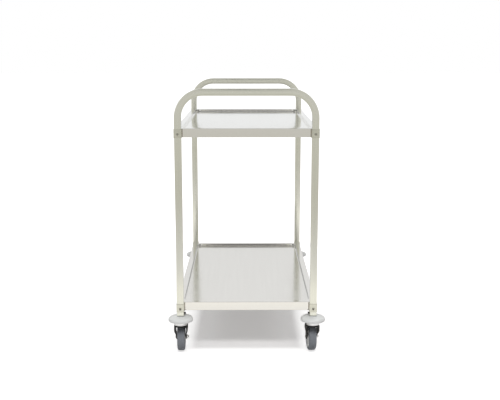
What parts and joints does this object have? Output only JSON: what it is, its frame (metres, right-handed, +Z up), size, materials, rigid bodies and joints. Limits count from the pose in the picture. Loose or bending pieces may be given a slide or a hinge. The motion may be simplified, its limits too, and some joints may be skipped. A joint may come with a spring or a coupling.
{
  "type": "service trolley",
  "caption": "Two-tier stainless steel service trolley: bent square-tube end frames that form push handles, pressed trays between them, swivel casters with round bumper discs.",
  "frame": {"origin": "on the floor under the middle of the trolley", "axes": "+Z up, +Y along the trolley from the front end frame to the rear one, +X across it"},
  "size_m": [0.563, 1.013, 0.95],
  "materials": {
    "satin_steel": "satin brushed stainless steel",
    "polished_steel": "polished stainless sheet, bright deck",
    "bracket_steel": "folded stainless sheet",
    "folded_steel": "mill-finish sheet",
    "bolt_steel": "plain stainless fasteners",
    "black_screw": "blackened steel",
    "socket_plastic": "black moulded plastic",
    "bumper_plastic": "light grey moulded plastic",
    "bright_zinc": "bright zinc plate",
    "bearing_steel": "plain steel",
    "fork_black": "black painted steel",
    "core_plastic": "grey moulded plastic",
    "tyre_grey": "grey rubber, matt",
    "pedal_black": "black moulded plastic"
  },
  "bodies": {
    "cart": {"front_end_frame": "satin_steel", "rear_end_frame": "satin_steel", "upper_tray": "polished_steel", "lower_tray": "polished_steel", "upper_tray_stiffeners": "folded_steel", "lower_tray_stiffeners": "folded_steel", "tray_bolts": "bolt_steel", "tray_nuts": "bolt_steel", "stem_sockets": "socket_plastic", "stem_lock_screws": "black_screw", "upper_bracket_front_left": "bracket_steel", "upper_bracket_front_right": "bracket_steel", "upper_bracket_rear_left": "bracket_steel", "upper_bracket_rear_right": "bracket_steel", "lower_bracket_front_left": "bracket_steel", "lower_bracket_front_right": "bracket_steel", "lower_bracket_rear_left": "bracket_steel", "lower_bracket_rear_right": "bracket_steel", "bumper_disc_front_left": "bumper_plastic", "caster_stem_front_left": "bright_zinc", "bumper_disc_front_right": "bumper_plastic", "caster_stem_front_right": "bright_zinc", "bumper_disc_rear_left": "bumper_plastic", "caster_stem_rear_left": "bright_zinc", "bumper_disc_rear_right": "bumper_plastic", "caster_stem_rear_right": "bright_zinc"},
    "swivel_front_left": {"fork_front_left": "fork_black", "swivel_bearing_front_left": "bearing_steel", "axle_bolt_front_left": "bright_zinc", "axle_nut_front_left": "bright_zinc", "axle_sleeve_front_left": "bearing_steel"},
    "wheel_front_left": {"wheel_core_front_left": "core_plastic", "tyre_front_left": "tyre_grey"},
    "swivel_front_right": {"fork_front_right": "fork_black", "swivel_bearing_front_right": "bearing_steel", "axle_bolt_front_right": "bright_zinc", "axle_nut_front_right": "bright_zinc", "axle_sleeve_front_right": "bearing_steel"},
    "wheel_front_right": {"wheel_core_front_right": "core_plastic", "tyre_front_right": "tyre_grey"},
    "swivel_rear_left": {"fork_rear_left": "fork_black", "swivel_bearing_rear_left": "bearing_steel", "axle_bolt_rear_left": "bright_zinc", "axle_nut_rear_left": "bright_zinc", "axle_sleeve_rear_left": "bearing_steel", "brake_pin_rear_left": "bright_zinc"},
    "wheel_rear_left": {"wheel_core_rear_left": "core_plastic", "tyre_rear_left": "tyre_grey"},
    "brake_rear_left": {"brake_pedal_rear_left": "pedal_black"},
    "swivel_rear_right": {"fork_rear_right": "fork_black", "swivel_bearing_rear_right": "bearing_steel", "axle_bolt_rear_right": "bright_zinc", "axle_nut_rear_right": "bright_zinc", "axle_sleeve_rear_right": "bearing_steel", "brake_pin_rear_right": "bright_zinc"},
    "wheel_rear_right": {"wheel_core_rear_right": "core_plastic", "tyre_rear_right": "tyre_grey"},
    "brake_rear_right": {"brake_pedal_rear_right": "pedal_black"}
  },
  "joints": [
    {"name": "swivel_turn_front_left", "type": "hinge", "parent": "cart", "child": "swivel_front_left", "pos_m": [-0.2375, -0.4625, 0.1216], "axis": [0, 0, 1], "continuous": true},
    {"name": "wheel_spin_front_left", "type": "hinge", "parent": "swivel_front_left", "child": "wheel_front_left", "pos_m": [-0.23865, -0.42952, 0.05], "axis": [0.9994, 0.0349, 0], "continuous": true},
    {"name": "swivel_turn_front_right", "type": "hinge", "parent": "cart", "child": "swivel_front_right", "pos_m": [0.2375, -0.4625, 0.1216], "axis": [0, 0, 1], "continuous": true},
    {"name": "wheel_spin_front_right", "type": "hinge", "parent": "swivel_front_right", "child": "wheel_front_right", "pos_m": [0.23462, -0.42963, 0.05], "axis": [0.9962, 0.0872, 0], "continuous": true},
    {"name": "swivel_turn_rear_left", "type": "hinge", "parent": "cart", "child": "swivel_rear_left", "pos_m": [-0.2375, 0.4625, 0.1216], "axis": [0, 0, 1], "continuous": true},
    {"name": "wheel_spin_rear_left", "type": "hinge", "parent": "swivel_rear_left", "child": "wheel_rear_left", "pos_m": [-0.2375, 0.4295, 0.05], "axis": [-1, 0, 0], "continuous": true},
    {"name": "brake_press_rear_left", "type": "hinge", "parent": "swivel_rear_left", "child": "brake_rear_left", "pos_m": [-0.2375, 0.4165, 0.106], "axis": [1, 0, 0], "range_deg": [0, 6.5]},
    {"name": "swivel_turn_rear_right", "type": "hinge", "parent": "cart", "child": "swivel_rear_right", "pos_m": [0.2375, 0.4625, 0.1216], "axis": [0, 0, 1], "continuous": true},
    {"name": "wheel_spin_rear_right", "type": "hinge", "parent": "swivel_rear_right", "child": "wheel_rear_right", "pos_m": [0.2375, 0.4295, 0.05], "axis": [-1, 0, 0], "continuous": true},
    {"name": "brake_press_rear_right", "type": "hinge", "parent": "swivel_rear_right", "child": "brake_rear_right", "pos_m": [0.2375, 0.4165, 0.106], "axis": [1, 0, 0], "range_deg": [0, 6.5]}
  ]
}
